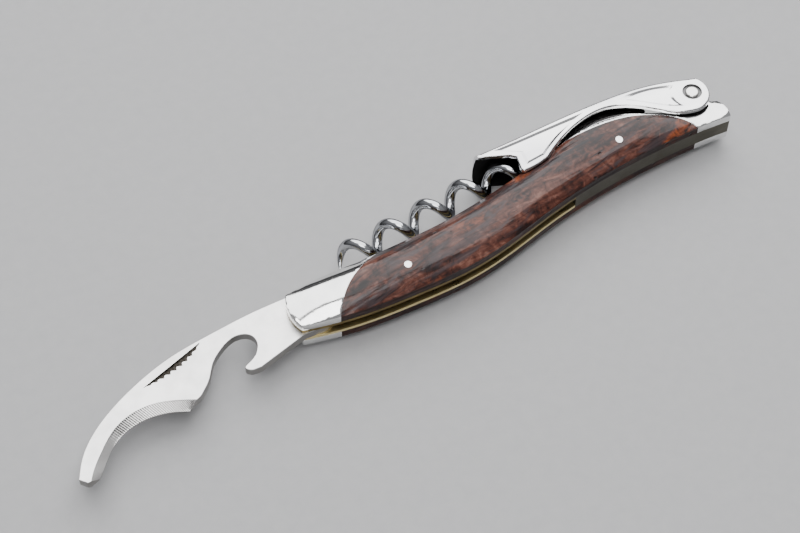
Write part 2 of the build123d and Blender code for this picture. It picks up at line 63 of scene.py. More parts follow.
def add_camera():
    """The photograph's viewpoint: the handle rises to the right, the blade points at the near left."""
    data = bpy.data.cameras.new("camera")
    data.lens = CAMERA_LENS
    data.sensor_width = SENSOR_WIDTH
    data.clip_start = 10 * MM
    camera = bpy.data.objects.new("camera", data)
    look = Vector((
        math.cos(CAMERA_BEARING) * math.cos(CAMERA_ELEVATION),
        math.sin(CAMERA_BEARING) * math.cos(CAMERA_ELEVATION),
        -math.sin(CAMERA_ELEVATION)))
    camera.location = (CAMERA_TARGET - look * CAMERA_DISTANCE) * MM
    camera.rotation_mode = "QUATERNION"
    camera.rotation_quaternion = look.to_track_quat("-Z", "Y")
    bpy.context.scene.collection.objects.link(camera)
    bpy.context.scene.camera = camera


# ---------------------------------------------------------------- shader nodes
def put(tree, kind, sockets=None, **settings):
    """Adds a shader node. A socket's value may be another node's output, which is then linked."""
    node = tree.nodes.new(kind)
    for key, value in settings.items():
        setattr(node, key, value)
    for key, value in (sockets or {}).items():
        if isinstance(value, bpy.types.NodeSocket):
            tree.links.new(value, node.inputs[key])
        else:
            node.inputs[key].default_value = value
    return node


def place(tree, stretch=(1, 1, 1), turn=0.0):
    """Coordinates in millimetres of the piece itself, stretched and turned in plan."""
    source = put(tree, "ShaderNodeTexCoord").outputs["Object"]
    size = tuple(share / MM for share in stretch)
    turned = put(tree, "ShaderNodeVectorRotate", {"Vector": source, "Angle": turn}, rotation_type="Z_AXIS")
    return put(tree, "ShaderNodeMapping", {"Vector": turned.outputs[0], "Scale": size}).outputs[0]


def noise(tree, where, size, detail=3.0, roughness=0.5, distortion=0.0):
    """Noise whose features are about size millimetres across."""
    return put(tree, "ShaderNodeTexNoise", {
        "Vector": where, "Scale": 1 / size, "Detail": detail, "Roughness": roughness,
        "Distortion": distortion}).outputs["Fac"]


def span(tree, value, from_low, from_high, to_low=0.0, to_high=1.0):
    """Maps one range of values on another, and stops at its ends."""
    return put(tree, "ShaderNodeMapRange", {
        "Value": value, "From Min": from_low, "From Max": from_high,
        "To Min": to_low, "To Max": to_high}).outputs["Result"]


def mix(tree, share, first, second):
    """Mixes two colours."""
    node = put(tree, "ShaderNodeMix", data_type="RGBA")
    for socket, value in ((node.inputs[0], share), (node.inputs[6], first), (node.inputs[7], second)):
        if isinstance(value, bpy.types.NodeSocket):
            tree.links.new(value, socket)
        elif isinstance(value, tuple):
            socket.default_value = (*value, 1.0)
        else:
            socket.default_value = value
    return node.outputs[2]


def figure(tree, operation, first, second=0.0):
    """One sum on two values."""
    node = put(tree, "ShaderNodeMath", operation=operation)
    for socket, value in zip(node.inputs, (first, second)):
        if isinstance(value, bpy.types.NodeSocket):
            tree.links.new(value, socket)
        else:
            socket.default_value = value
    return node.outputs[0]


def ramp(tree, value, stops):
    """Colour ramp through (position, colour) stops."""
    node = put(tree, "ShaderNodeValToRGB", {"Fac": value})
    points = node.color_ramp.elements
    while len(points) < len(stops):
        points.new(0.5)
    for point, (position, colour) in zip(points, stops):
        point.position = position
        point.color = (*colour, 1.0)
    return node.outputs["Color"]


def bump(tree, height, depth):
    """Normal of a surface that stands up by height times depth millimetres."""
    return put(tree, "ShaderNodeBump", {"Height": height, "Strength": 1.0, "Distance": depth * MM}).outputs[0]


def finish_of(name, **constants):
    """A material with its shader's constant sockets set. Returns material, tree and shader."""
    material = bpy.data.materials.new(name)
    material.use_nodes = True
    tree = material.node_tree
    shader = tree.nodes["Principled BSDF"]
    for key, value in constants.items():
        socket = shader.inputs[key.replace("_", " ")]
        socket.default_value = (*value, 1.0) if isinstance(value, tuple) else value
    return material, tree, shader


# ---------------------------------------------------------------- materials
WALL_HEIGHT = 4.0           # mid-plane to the edge between a scale's dome and its straight wall
LEVER_CHANNEL = 5.3         # mid-plane to the inner side of a lever cheek
RECESS_RADIUS = 2.4         # recess round the lever pin's head, and the height of its rim above the mid-plane
RECESS_LEVEL = 6.2
RECESS_BLEND = 0.1
EYE_SPACING = 2.4           # size of the wood's cells, some of which hold an eye
HAZE_SHADE = 0.86           # share of its colour that steel keeps where it was handled
SCRATCH_STRETCH = (0.03, 1, 1)
SCRATCH_SIZE = 0.12
GROOVE_LAYER = "groove"


def above_wall(tree, low, high):
    """0 on the handle's straight side walls, 1 on its domes."""
    height = put(tree, "ShaderNodeSeparateXYZ", {"Vector": place(tree)}).outputs["Z"]
    from_mid = figure(tree, "ABSOLUTE", figure(tree, "SUBTRACT", height, mid_height))
    return span(tree, from_mid, low, high)


def burl_wood():
    """Lacquered reddish-brown burl: flowing dark and grey streaks, mottled figure, orange patches, eyes, and
    painted shade on the side walls.
    """
    material, tree, shader = finish_of(
        "burl_wood", Coat_Roughness=0.12, Coat_IOR=1.4, Specular_IOR_Level=0.15)

    # flowing figure
    flow = place(tree, stretch=(0.30, 1, 1), turn=math.radians(-10))
    sway = noise(tree, flow, 5.5, detail=3, roughness=0.5, distortion=0.9)
    grain = noise(tree, flow, 2.2, detail=6, roughness=0.56, distortion=1.4)
    mottle = noise(tree, place(tree), 2.3, detail=5, roughness=0.56, distortion=1.3)
    share = figure(tree, "ADD", figure(tree, "MULTIPLY", grain, 0.5), figure(tree, "MULTIPLY", mottle, 0.5))
    tone = figure(tree, "ADD", share, figure(tree, "MULTIPLY", figure(tree, "SUBTRACT", sway, 0.5), 0.7))
    colour = ramp(tree, tone, (
        (0.30, (0.004, 0.002, 0.002)), (0.41, (0.016, 0.006, 0.005)), (0.50, (0.050, 0.016, 0.011)),
        (0.60, (0.100, 0.036, 0.025)), (0.74, (0.200, 0.094, 0.068))))

    # grey drifts and dark streaks along the grain
    drift_place = place(tree, stretch=(0.22, 1, 1), turn=math.radians(-14))
    drift = noise(tree, drift_place, 3.0, detail=4, roughness=0.55, distortion=1.2)
    colour = mix(tree, span(tree, drift, 0.50, 0.62, 0.0, 0.72), colour, (0.040, 0.031, 0.034))
    streak_place = place(tree, stretch=(0.14, 1, 1), turn=math.radians(-12))
    streak = noise(tree, streak_place, 1.9, detail=5, roughness=0.6, distortion=0.9)
    colour = mix(tree, span(tree, streak, 0.56, 0.66, 0.0, 0.9), colour, (0.008, 0.006, 0.008))

    # orange patches
    patch = noise(tree, place(tree, stretch=(0.55, 1, 1)), 7.5, detail=2, distortion=0.5)
    ember = figure(tree, "MULTIPLY", span(tree, patch, 0.58, 0.70), span(tree, mottle, 0.36, 0.70))
    colour = mix(tree, ember, colour, (0.30, 0.070, 0.020))

    # eyes: small dark pits in about one cell in five
    eyes = put(tree, "ShaderNodeTexVoronoi", {
        "Vector": place(tree, stretch=(0.7, 1, 1)), "Scale": 1 / EYE_SPACING, "Randomness": 1.0})
    chance = put(tree, "ShaderNodeSeparateColor", {"Color": eyes.outputs["Color"]}).outputs[0]
    pit = figure(tree, "MULTIPLY", span(tree, eyes.outputs["Distance"], 0.20, 0.08),
                 span(tree, chance, 0.80, 0.82))
    colour = mix(tree, pit, colour, (0.006, 0.005, 0.006))

    # painted shade: the side walls coloured darker than the domes, and given little lacquer
    dome = above_wall(tree, WALL_HEIGHT - 0.25, WALL_HEIGHT + 0.15)
    colour = mix(tree, span(tree, dome, 0, 1, 0.80, 0.0), colour, (0.010, 0.003, 0.0025))
    tree.links.new(span(tree, dome, 0, 1, 0.08, 0.55), shader.inputs["Coat Weight"])
    tree.links.new(colour, shader.inputs["Base Color"])
    tree.links.new(span(tree, mottle, 0.3, 0.7, 0.42, 0.30), shader.inputs["Roughness"])

    # slow waves and the eyes' pits in the wood and its lacquer
    waves = noise(tree, place(tree, stretch=(0.10, 1, 1), turn=math.radians(-8)), 2.6, detail=2)
    height = figure(tree, "SUBTRACT", waves, figure(tree, "MULTIPLY", pit, 0.3))
    tree.links.new(bump(tree, height, 0.45), shader.inputs["Normal"])
    tree.links.new(bump(tree, height, 0.30), shader.inputs["Coat Normal"])
    return material


def steel(name, colour, rough, scratch_turn=0.0, scratch_depth=0.002, haze=0.05, edge=(1.0, 1.0, 1.0)):
    """Polished or ground steel: hairline scratches along one direction and a faint haze of handling. The edge
    colour is what the steel reflects at a glancing angle."""
    material, tree, shader = finish_of(name, Metallic=1.0, Specular_Tint=edge)
    lines = noise(tree, place(tree, stretch=SCRATCH_STRETCH, turn=scratch_turn), SCRATCH_SIZE, detail=2)
    cloud = noise(tree, place(tree), 5.0, detail=4, roughness=0.6)
    shade = tuple(HAZE_SHADE * part for part in colour)
    tree.links.new(mix(tree, span(tree, cloud, 0.35, 0.65), colour, shade), shader.inputs["Base Color"])
    smear = span(tree, cloud, 0.4, 0.7, rough, rough + haze)
    scratched = figure(tree, "ADD", smear, span(tree, lines, 0.5, 0.8, 0.0, haze))
    tree.links.new(scratched, shader.inputs["Roughness"])
    tree.links.new(bump(tree, lines, scratch_depth), shader.inputs["Normal"])
    return material


def lever_steel():
    """Mirror-polished casting with painted shade: its inside, and the recess round the pin's head, are
    coloured dark; both are also rough.
    """
    material, tree, shader = finish_of("lever_steel", Metallic=1.0)

    # where shade is painted: 1 on the cheeks' inner sides and under the back, 0 outside
    where = place(tree)
    height = put(tree, "ShaderNodeSeparateXYZ", {"Vector": where}).outputs["Z"]
    from_mid = figure(tree, "SUBTRACT", height, mid_height)
    off_mid = figure(tree, "ABSOLUTE", from_mid)
    normal = put(tree, "ShaderNodeTexCoord").outputs["Normal"]
    facing = put(tree, "ShaderNodeSeparateXYZ", {"Vector": normal})
    inward = figure(tree, "MULTIPLY", facing.outputs["Z"], figure(tree, "SIGN", from_mid))
    channel = span(tree, off_mid, LEVER_CHANNEL + 0.02, LEVER_CHANNEL + 0.06, 1.0, 0.0)
    under = figure(tree, "MULTIPLY", span(tree, facing.outputs["Y"], -0.5, -0.8), channel)
    inside = figure(tree, "MAXIMUM", span(tree, inward, -0.5, -0.8), under)

    # painted shade in the recess round the pin's head, somewhat less dark
    level = put(tree, "ShaderNodeCombineXYZ", {"Z": height}).outputs[0]
    plan = put(tree, "ShaderNodeVectorMath", {0: where, 1: level}, operation="SUBTRACT").outputs[0]
    pivot = joints["lever_swing"]
    from_pin = put(tree, "ShaderNodeVectorMath", {0: plan, 1: (pivot.x, pivot.y, 0)}, operation="DISTANCE")
    recess = figure(
        tree, "MULTIPLY",
        span(tree, from_pin.outputs["Value"], RECESS_RADIUS, RECESS_RADIUS + RECESS_BLEND, 1, 0),
        span(tree, off_mid, RECESS_LEVEL, RECESS_LEVEL + RECESS_BLEND, 1, 0))
    inside = figure(tree, "MAXIMUM", inside, figure(tree, "MULTIPLY", recess, 0.85))

    # bright outside with a slow cloud and hairlines
    cloud = noise(tree, place(tree, stretch=(0.5, 1, 1)), 9.0, detail=2, roughness=0.5)
    lines = noise(tree, place(tree, stretch=SCRATCH_STRETCH, turn=math.radians(-5)), SCRATCH_SIZE, detail=2)
    bright = mix(tree, span(tree, cloud, 0.35, 0.65), (0.90, 0.90, 0.90), (0.70, 0.70, 0.72))
    # painted shade: the inside and the recess mixed towards near black
    tree.links.new(mix(tree, inside, bright, (0.035, 0.034, 0.034)), shader.inputs["Base Color"])
    smooth = span(tree, cloud, 0.4, 0.7, 0.10, 0.17)
    rough = figure(tree, "MULTIPLY", inside, 0.55)
    tree.links.new(figure(tree, "MAXIMUM", smooth, rough), shader.inputs["Roughness"])
    height_lines = figure(tree, "ADD", figure(tree, "MULTIPLY", lines, 0.02), cloud)
    tree.links.new(bump(tree, height_lines, 0.10), shader.inputs["Normal"])
    return material


def serrated_steel():
    """Ground bevel, with painted shade in the cuts between its teeth."""
    material = steel("bevel_steel", colour=(0.66, 0.65, 0.64), rough=0.28, scratch_turn=math.radians(30),
                     scratch_depth=0.003)
    tree = material.node_tree
    shader = tree.nodes["Principled BSDF"]
    ground = shader.inputs["Base Color"].links[0].from_socket
    groove = put(tree, "ShaderNodeAttribute", attribute_name=GROOVE_LAYER).outputs["Fac"]
    # painted shade: the cuts between the teeth mixed towards near black
    cut_shade = mix(tree, span(tree, groove, 0.30, 0.80), ground, (0.055, 0.052, 0.05))
    tree.links.new(cut_shade, shader.inputs["Base Color"])
    return material


def liner_brass():
    """Ground brass with random tarnish, in two painted copies: the lower liner painted bright as if lit, the
    upper one painted dark olive as shade.
    """
    material, tree, shader = finish_of("liner_brass", Metallic=1.0)
    tarnish = noise(tree, place(tree, stretch=(0.25, 1, 1)), 1.8, detail=5, roughness=0.6)
    height = put(tree, "ShaderNodeSeparateXYZ", {"Vector": place(tree)}).outputs["Z"]
    lower = span(tree, height, mid_height - 0.6, mid_height + 0.6, 1.0, 0.0)
    lit_brass = mix(tree, span(tree, tarnish, 0.45, 0.7, 0.0, 0.4), (0.98, 0.82, 0.42), (0.62, 0.48, 0.20))
    shaded_brass = mix(tree, span(tree, tarnish, 0.4, 0.7), (0.26, 0.195, 0.075), (0.12, 0.085, 0.035))
    # painted light and shade: the lower liner takes the bright copy, the upper one the dark olive copy
    tree.links.new(mix(tree, lower, shaded_brass, lit_brass), shader.inputs["Base Color"])
    tree.links.new(span(tree, tarnish, 0.3, 0.8, 0.24, 0.42), shader.inputs["Roughness"])
    lines = noise(tree, place(tree, stretch=(0.02, 1, 1)), 0.1, detail=2)
    tree.links.new(bump(tree, lines, 0.004), shader.inputs["Normal"])
    return material


def floor_paper():
    """Pale matt studio paper with a barely visible tooth."""
    material, tree, shader = finish_of("floor_paper", Roughness=0.75)
    tooth = noise(tree, place(tree), 3.0, detail=6, roughness=0.6)
    tree.links.new(mix(tree, span(tree, tooth, 0.3, 0.7), (0.36, 0.36, 0.367), (0.385, 0.385, 0.39)),
                   shader.inputs["Base Color"])
    tree.links.new(bump(tree, tooth, 0.02), shader.inputs["Normal"])
    return material


# ---------------------------------------------------------------- mesh helpers
CREASE = 35.0               # degrees between two faces from which their edge is drawn sharp


def smooth_line(points, count):
    """Natural cubic spline through the points, by chord length, as count + 1 points."""
    points = np.array(points, float)
    steps = np.linalg.norm(np.diff(points, axis=0), axis=1)
    at = np.concatenate(([0], np.cumsum(steps)))
    total = len(points)
    matrix = np.eye(total)
    right = np.zeros_like(points)
    for i in range(1, total - 1):
        matrix[i, i - 1:i + 2] = steps[i - 1], 2 * (steps[i - 1] + steps[i]), steps[i]
        right[i] = 6 * ((points[i + 1] - points[i]) / steps[i] - (points[i] - points[i - 1]) / steps[i - 1])
    bend = np.linalg.solve(matrix, right)
    line = []
    for t in np.linspace(0, at[-1], count + 1):
        i = min(int(np.searchsorted(at, t, side="right")) - 1, total - 2)
        h, a, b = steps[i], at[i + 1] - t, t - at[i]
        line.append((bend[i] * a ** 3 + bend[i + 1] * b ** 3) / (6 * h)
                    + (points[i] / h - bend[i] * h / 6) * a + (points[i + 1] / h - bend[i + 1] * h / 6) * b)
    return [tuple(point) for point in line]


def arc(centre, radius, start, end, count):
    """Points along an arc, in degrees."""
    angles = np.radians(np.linspace(start, end, count + 1))
    return [(centre[0] + radius * math.cos(a), centre[1] + radius * math.sin(a)) for a in angles]


def line_between(first, last, count):
    """Evenly spaced points from first to last, both included."""
    return [tuple(np.array(first) + (np.array(last) - np.array(first)) * i / count) for i in range(count + 1)]


def drawn_in(loop, distances):
    """A closed loop moved inwards, each point by its own distance. The loop runs anticlockwise."""
    points = np.array(loop)
    ahead = np.roll(points, -1, axis=0) - np.roll(points, 1, axis=0)
    ahead /= np.linalg.norm(ahead, axis=1)[:, None]
    inward = np.stack([-ahead[:, 1], ahead[:, 0]], axis=1)
    return [tuple(point) for point in points + inward * np.array(distances)[:, None]]


def add_ring(mesh, points):
    """One vertex for each (x, y, z), in millimetres."""
    return [mesh.verts.new(Vector(point) * MM) for point in points]


def bridge(mesh, first, second, closed=True, slot=0):
    """Smooth quads between two rings of the same length, in a material slot."""
    count = len(first)
    for i in range(count if closed else count - 1):
        j = (i + 1) % count
        face = mesh.faces.new((first[i], first[j], second[j], second[i]))
        face.smooth = True
        face.material_index = slot


def ring_edges(mesh, ring):
    """The edges of a closed ring, made if they are missing."""
    edges = []
    for i, start in enumerate(ring):
        end = ring[(i + 1) % len(ring)]
        edges.append(mesh.edges.get((start, end)) or mesh.edges.new((start, end)))
    return edges


def fill(mesh, rings, up):
    """Flat face between an outer ring and its holes. It faces up (1) or down (-1)."""
    edges = [edge for ring in rings for edge in ring_edges(mesh, ring)]
    made = bmesh.ops.triangle_fill(mesh, edges=edges, use_beauty=True, use_dissolve=False)
    for face in made["geom"]:
        if isinstance(face, bmesh.types.BMFace):
            face.normal_update()
            if face.normal.z * up < 0:
                face.normal_flip()


def new_piece(name, mesh, materials, crease=CREASE):
    """Object from a bmesh, with sharp edges where faces meet at more than crease degrees."""
    for edge in mesh.edges:
        if len(edge.link_faces) == 2:
            edge.smooth = edge.calc_face_angle(0) < math.radians(crease)
    data = bpy.data.meshes.new(name)
    mesh.to_mesh(data)
    mesh.free()
    for material in materials:
        data.materials.append(material)
    piece = bpy.data.objects.new(name, data)
    bpy.context.scene.collection.objects.link(piece)
    return piece


# ---------------------------------------------------------------- foil blade
BLADE_THICKNESS = 2.2
BLADE_CHAMFER = 0.12
CHAMFER_FADE = 3            # points of the outline over which the chamfer runs out beside the bevel
BLADE_EDGE = 0.10           # half thickness left at the cutting edge
TANG_RADIUS = 4.4
TANG_START, TANG_END = -105, 120.5
PIN_HOLE_RADIUS = 1.35
BEVEL_AT_TIP = 0.72         # where the bevel begins on the blunt tip, from the edge to the spine

# The outline in plan, from the blade's pivot, with the open blade's point at -X. CAP_HOOK and LIP go on from
# the end of the line above them.
SPINE = ((-3.8, 6.45), (-13.2, 6.1), (-23.3, 4.95), (-33.5, 3.25), (-44.4, -0.65), (-53.9, -6.15),
         (-59.8, -12.25), (-62.0, -16.45))
TIP = (-60.6, -17.95)
HEEL = ((-32.3, -9.15), (-31.1, -8.75), (-30.2, -8.0), (-28.4, -6.3), (-25.6, -2.25), (-21.6, 0.95))
CAP_HOOK = ((-18.4, 2.0), (-15.4, 0.75), (-14.9, -1.7), (-16.3, -4.25))
LIP = ((-18.4, -5.55), (-19.75, -6.5), (-19.3, -7.2), (-17.2, -7.75), (-16.4, -7.75))
KICK = (-4.5, -4.25)
# The bevel, from the tip to the heel: its cutting edge, and its inner line between the tip and HEEL[0].
EDGE = ((-57.8, -17.65), (-55.5, -14.85), (-51.7, -11.05), (-47.3, -8.95), (-42.5, -8.45), (-38.2, -9.25),
        (-34.6, -10.75))
INNER = ((-58.3, -15.55), (-55.5, -12.35), (-51.5, -8.65), (-46.5, -6.35), (-41.8, -6.0), (-37.0, -7.15))
NICK_LINE = ((-41.7, -1.45), (-26.3, 3.95))

SPINE_STEPS = 90
EDGE_STEPS = 420
HEEL_STEPS = 40
HOOK_STEPS = 36
LIP_STEPS = 16
TIP_STEPS = 3
TANG_STEPS = 28
HOLE_STEPS = 32

TOOTH_PITCH = 0.52
TOOTH_SHARE = 0.72          # share of the cutting edge that has serrations, from the heel
TOOTH_FADE = 4.0            # over this length they run out
TOOTH_DEPTH = 0.14
TOOTH_LEAN = 1.1            # how far a groove at the heel leans over, against its length
TOOTH_RISE = 6              # a groove deepens over the first 1/6 of the bevel's width
TOOTH_FALL = 8              # and runs out over its last 1/8
BEVEL_ROWS = 12

NICK_TEETH = 10
NICK_DEPTH = 0.5
NICK_WIDTH = 1.8
NICK_END_WIDTH = 0.02
NICK_WALL = 0.02            # share of the groove's width that its steep wall takes
NICK_LEAN = 1.15            # above 1, the groove is widest nearer to the pivot
NICK_FULLNESS = 0.7         # below 1, the groove's ends are fuller
NICK_FLOOR_CURVE = 2.5      # power by which the floor rises to the blade's face
NICK_TOOTH_DEPTH = 0.36     # share of the groove's width that its teeth stand into
NICK_TOOTH_LEAN = 1.6       # above 1, they lean over like a saw's
RIB_HEIGHT = 0.20
RIB_SHARPNESS = 3
NICK_ROWS = 5
NICK_STEPS_PER_TOOTH = 8

FLAT_SLOT, BEVEL_SLOT, NICK_SLOT, SIDE_SLOT = range(4)


def from_pivot(*points):
    """Points given from the blade's pivot, placed in the frame."""
    pivot = joints["blade_fold"]
    return [(pivot.x + x, pivot.y + y) for x, y in points]


def blade_lines():
    """The blade in plan, in four lines: the spine with the tip, the bevel's inner line and its cutting edge,
    both from the heel to the tip, and the rest from the heel round the tang."""
    tip, edge_tip = from_pivot(TIP, EDGE[0])
    inner_tip = tuple(Vector(edge_tip).lerp(Vector(tip), BEVEL_AT_TIP))
    spine = smooth_line(from_pivot(*SPINE), SPINE_STEPS)
    edge = smooth_line(from_pivot(*EDGE), EDGE_STEPS)[::-1]
    inner = smooth_line([inner_tip, *from_pivot(*INNER, HEEL[0])], EDGE_STEPS)[::-1]
    heel = smooth_line(from_pivot(*HEEL), HEEL_STEPS)
    hook = smooth_line([heel[-1], *from_pivot(*CAP_HOOK)], HOOK_STEPS)
    lip = smooth_line([hook[-1], *from_pivot(*LIP)], LIP_STEPS)
    tang = arc(*from_pivot((0, 0)), TANG_RADIUS, TANG_START, TANG_END, TANG_STEPS)
    back = [*spine, tip, *line_between(tip, inner_tip, TIP_STEPS)[1:-1]]
    belly = [*heel[1:-1], *hook[:-1], *lip, *from_pivot(KICK), *tang]
    return back, inner, edge, belly


def bevel_grid(inner, edge):
    """Rows of (x, y, height, groove) from the bevel's inner line to the cutting edge."""
    rim = np.array(edge)
    steps = np.linalg.norm(np.diff(rim, axis=0), axis=1)
    reached = np.concatenate(([0], np.cumsum(steps)))
    ahead = np.gradient(rim, axis=0)
    ahead /= np.linalg.norm(ahead, axis=1)[:, None]
    toothed = reached[-1] * TOOTH_SHARE
    half = BLADE_THICKNESS / 2
    rows = []
    for row in range(BEVEL_ROWS + 1):
        share = row / BEVEL_ROWS
        points = []
        for start, end in zip(inner, edge):
            spot = np.array(start) + (np.array(end) - np.array(start)) * share
            away = np.linalg.norm(rim - spot, axis=1)
            nearest = int(np.argmin(away))
            along = reached[nearest] + float(np.dot(spot - rim[nearest], ahead[nearest]))
            lean = TOOTH_LEAN * max(0.0, 1 - along / toothed)
            phase = (along - lean * away[nearest]) / TOOTH_PITCH
            fade = min(1.0, max(0.0, (toothed - along) / TOOTH_FADE))
            groove = fade * (0.5 - 0.5 * math.cos(2 * math.pi * phase))
            depth = TOOTH_DEPTH * groove * min(1.0, TOOTH_RISE * share, TOOTH_FALL * (1 - share))
            points.append((*spot, half + (BLADE_EDGE - half) * share - depth, groove))
        rows.append(points)
    return rows


def nick_outline(start, end):
    """The thumbnail groove: its straight upper side, and its lower side with saw-toothed scallops."""
    steps = NICK_TEETH * NICK_STEPS_PER_TOOTH
    straight = line_between(start, end, steps)
    ahead = (Vector(end) - Vector(start)).normalized()
    down = Vector((ahead.y, -ahead.x))
    scalloped = []
    for step, point in enumerate(straight):
        share = step / steps
        tooth = (step % NICK_STEPS_PER_TOOTH) / NICK_STEPS_PER_TOOTH
        rim = 1.0 - NICK_TOOTH_DEPTH * math.sin(math.pi * (1 - tooth) ** NICK_TOOTH_LEAN)
        width = NICK_WIDTH * (math.sin(math.pi * share ** NICK_LEAN)) ** NICK_FULLNESS * rim
        scalloped.append(tuple(Vector(point) + down * (width + NICK_END_WIDTH)))
    return straight, scalloped


def build_nick(mesh, straight, scalloped, top):
    """The groove's wall and its ribbed floor, which rises to the blade's face. Returns its rim."""
    rim_straight = add_ring(mesh, [(x, y, top) for x, y in straight])
    rim_scallop = add_ring(mesh, [(x, y, top) for x, y in scalloped[1:-1]])
    steps = len(straight) - 1
    rows = [rim_straight]
    for row in range(NICK_ROWS):
        share = row / NICK_ROWS
        points = []
        for step in range(steps + 1):
            near, far = straight[step], scalloped[step]
            tooth = (step % NICK_STEPS_PER_TOOTH) / NICK_STEPS_PER_TOOTH
            envelope = math.sin(math.pi * step / steps) ** 0.5
            depth = NICK_DEPTH * envelope * (1 - share ** NICK_FLOOR_CURVE)
            crest = abs(math.cos(math.pi * tooth)) ** RIB_SHARPNESS
            rib = RIB_HEIGHT * envelope * math.sin(math.pi * share) * crest
            inset = NICK_WALL + (1 - NICK_WALL) * share
            points.append((near[0] + (far[0] - near[0]) * inset, near[1] + (far[1] - near[1]) * inset,
                           top - max(depth - rib, 0.0)))
        ring = add_ring(mesh, points[1:-1])
        rows.append([rim_straight[0], *ring, rim_straight[-1]])
    rows.append([rim_straight[0], *rim_scallop, rim_straight[-1]])
    for upper, lower in zip(rows, rows[1:]):
        for i in range(steps):
            corners = []
            for vertex in (upper[i], upper[i + 1], lower[i + 1], lower[i]):
                if vertex not in corners:
                    corners.append(vertex)
            if len(corners) > 2:
                face = mesh.faces.new(corners)
                face.material_index = NICK_SLOT
    return [*rim_straight, *rim_scallop[::-1]]


def build_half(mesh, side, outline, bevel, grid):
    """The upper (1) or lower (-1) half of the blade: flat side, chamfer, bevel, pin hole and, above, a nick.
    bevel is the range of outline points on the bevel's inner line. Returns the half's two borders, outside
    and round the hole, to be joined to the other half's."""
    half = BLADE_THICKNESS / 2
    chamfers = [
        BLADE_CHAMFER * min(1.0, max(bevel.start - index, index - bevel.stop + 1, 0) / CHAMFER_FADE)
        for index in range(len(outline))]
    face_level = mid_height + side * half
    top = add_ring(mesh, [(x, y, face_level) for x, y in drawn_in(outline, chamfers)])

    rows = [top[bevel.start:bevel.stop][::-1]]
    for points in grid[1:]:
        rows.append(add_ring(mesh, [(x, y, mid_height + side * height) for x, y, height, groove in points]))
    layer = mesh.verts.layers.float[GROOVE_LAYER]
    for row, points in zip(rows, grid):
        for vertex, point in zip(row, points):
            vertex[layer] = point[3]
    for upper, lower in zip(rows, rows[1:]):
        bridge(mesh, upper, lower, closed=False, slot=BEVEL_SLOT)

    free = [*range(bevel.stop, len(outline)), *range(bevel.start)]
    flat = [top[index] for index in free]
    side_ring = add_ring(mesh, [
        (*outline[index], mid_height + side * (half - chamfers[index])) for index in free])
    bridge(mesh, flat, side_ring, closed=False, slot=FLAT_SLOT)
    near_heel = [row[0] for row in rows]
    near_tip = [row[-1] for row in rows]
    mesh.faces.new((near_heel[0], flat[0], side_ring[0]))
    mesh.faces.new((near_tip[0], flat[-1], side_ring[-1]))
    border = [*near_heel, *rows[-1][1:-1], *near_tip[::-1], *side_ring[::-1]]

    circle = arc(*from_pivot((0, 0)), PIN_HOLE_RADIUS, 0, 360, HOLE_STEPS)[:-1]
    hole = add_ring(mesh, [(x, y, face_level) for x, y in circle])
    cuts = [hole]
    if side == 1:
        cuts.append(build_nick(mesh, *nick_outline(*from_pivot(*NICK_LINE)), face_level))
    fill(mesh, [top, *cuts], side)
    return border, hole


def build_blade(satin, ground, nick_shade, side_shade):
    """Foil blade: flat sides, a hollow cutting bevel with fine serrations, a cap-lifter notch and a nick."""
    back, inner, edge, belly = blade_lines()
    outline = [*back, *inner[::-1], *belly]
    bevel = range(len(back), len(back) + len(inner))
    grid = bevel_grid(inner, edge)
    mesh = bmesh.new()
    mesh.verts.layers.float.new(GROOVE_LAYER)
    upper = build_half(mesh, 1, outline, bevel, grid)
    lower = build_half(mesh, -1, outline, bevel, grid)
    for first, second in zip(upper, lower):
        bridge(mesh, first, second, slot=SIDE_SLOT)
    bmesh.ops.recalc_face_normals(mesh, faces=mesh.faces)
    piece = new_piece("foil_blade", mesh, (satin, ground, nick_shade, side_shade))
    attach(piece, "blade")
    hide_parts("blade")


# ---------------------------------------------------------------- worm
WIRE_RADIUS = 1.2
COIL_RADIUS = 2.63
COIL_PITCH = 10.17
COIL_TURNS = 4.78
COIL_SLOPE = math.radians(7.8)
COIL_LIFT = 1.05
BEND_TURNS = 1.25
POINT_TURNS = 0.45
POINT_RADIUS = 0.12
POINT_SHAPE = 0.85          # below 1, the point is blunter than a quarter sine
HUB_NECK = 5.8
SOCKET_DEPTH = 1.2          # how far the wire runs on inside the hub's socket
RINGS_PER_TURN = 64
RING_SIDES = 28
WIRE_CREASE = 50.0


def worm_centre(turns):
    """Centre of the wire so many turns up the coil, which sinks to the hub's socket in its last turns."""
    pivot = joints["worm_swing"]
    ahead = Vector((math.cos(COIL_SLOPE), math.sin(COIL_SLOPE), 0))
    across = Vector((-ahead.y, ahead.x, 0))
    share = max(0.0, (turns - COIL_TURNS) / BEND_TURNS + 1)
    sink = COIL_LIFT * share ** 2 * (3 - 2 * share)
    phase = math.pi + 2 * math.pi * (turns - COIL_TURNS)
    back = HUB_NECK + COIL_PITCH * (COIL_TURNS - turns)
    axis = pivot - ahead * back + across * (COIL_RADIUS + COIL_LIFT - sink)
    return axis + across * (COIL_RADIUS * math.cos(phase)) + Vector((0, 0, COIL_RADIUS * math.sin(phase)))


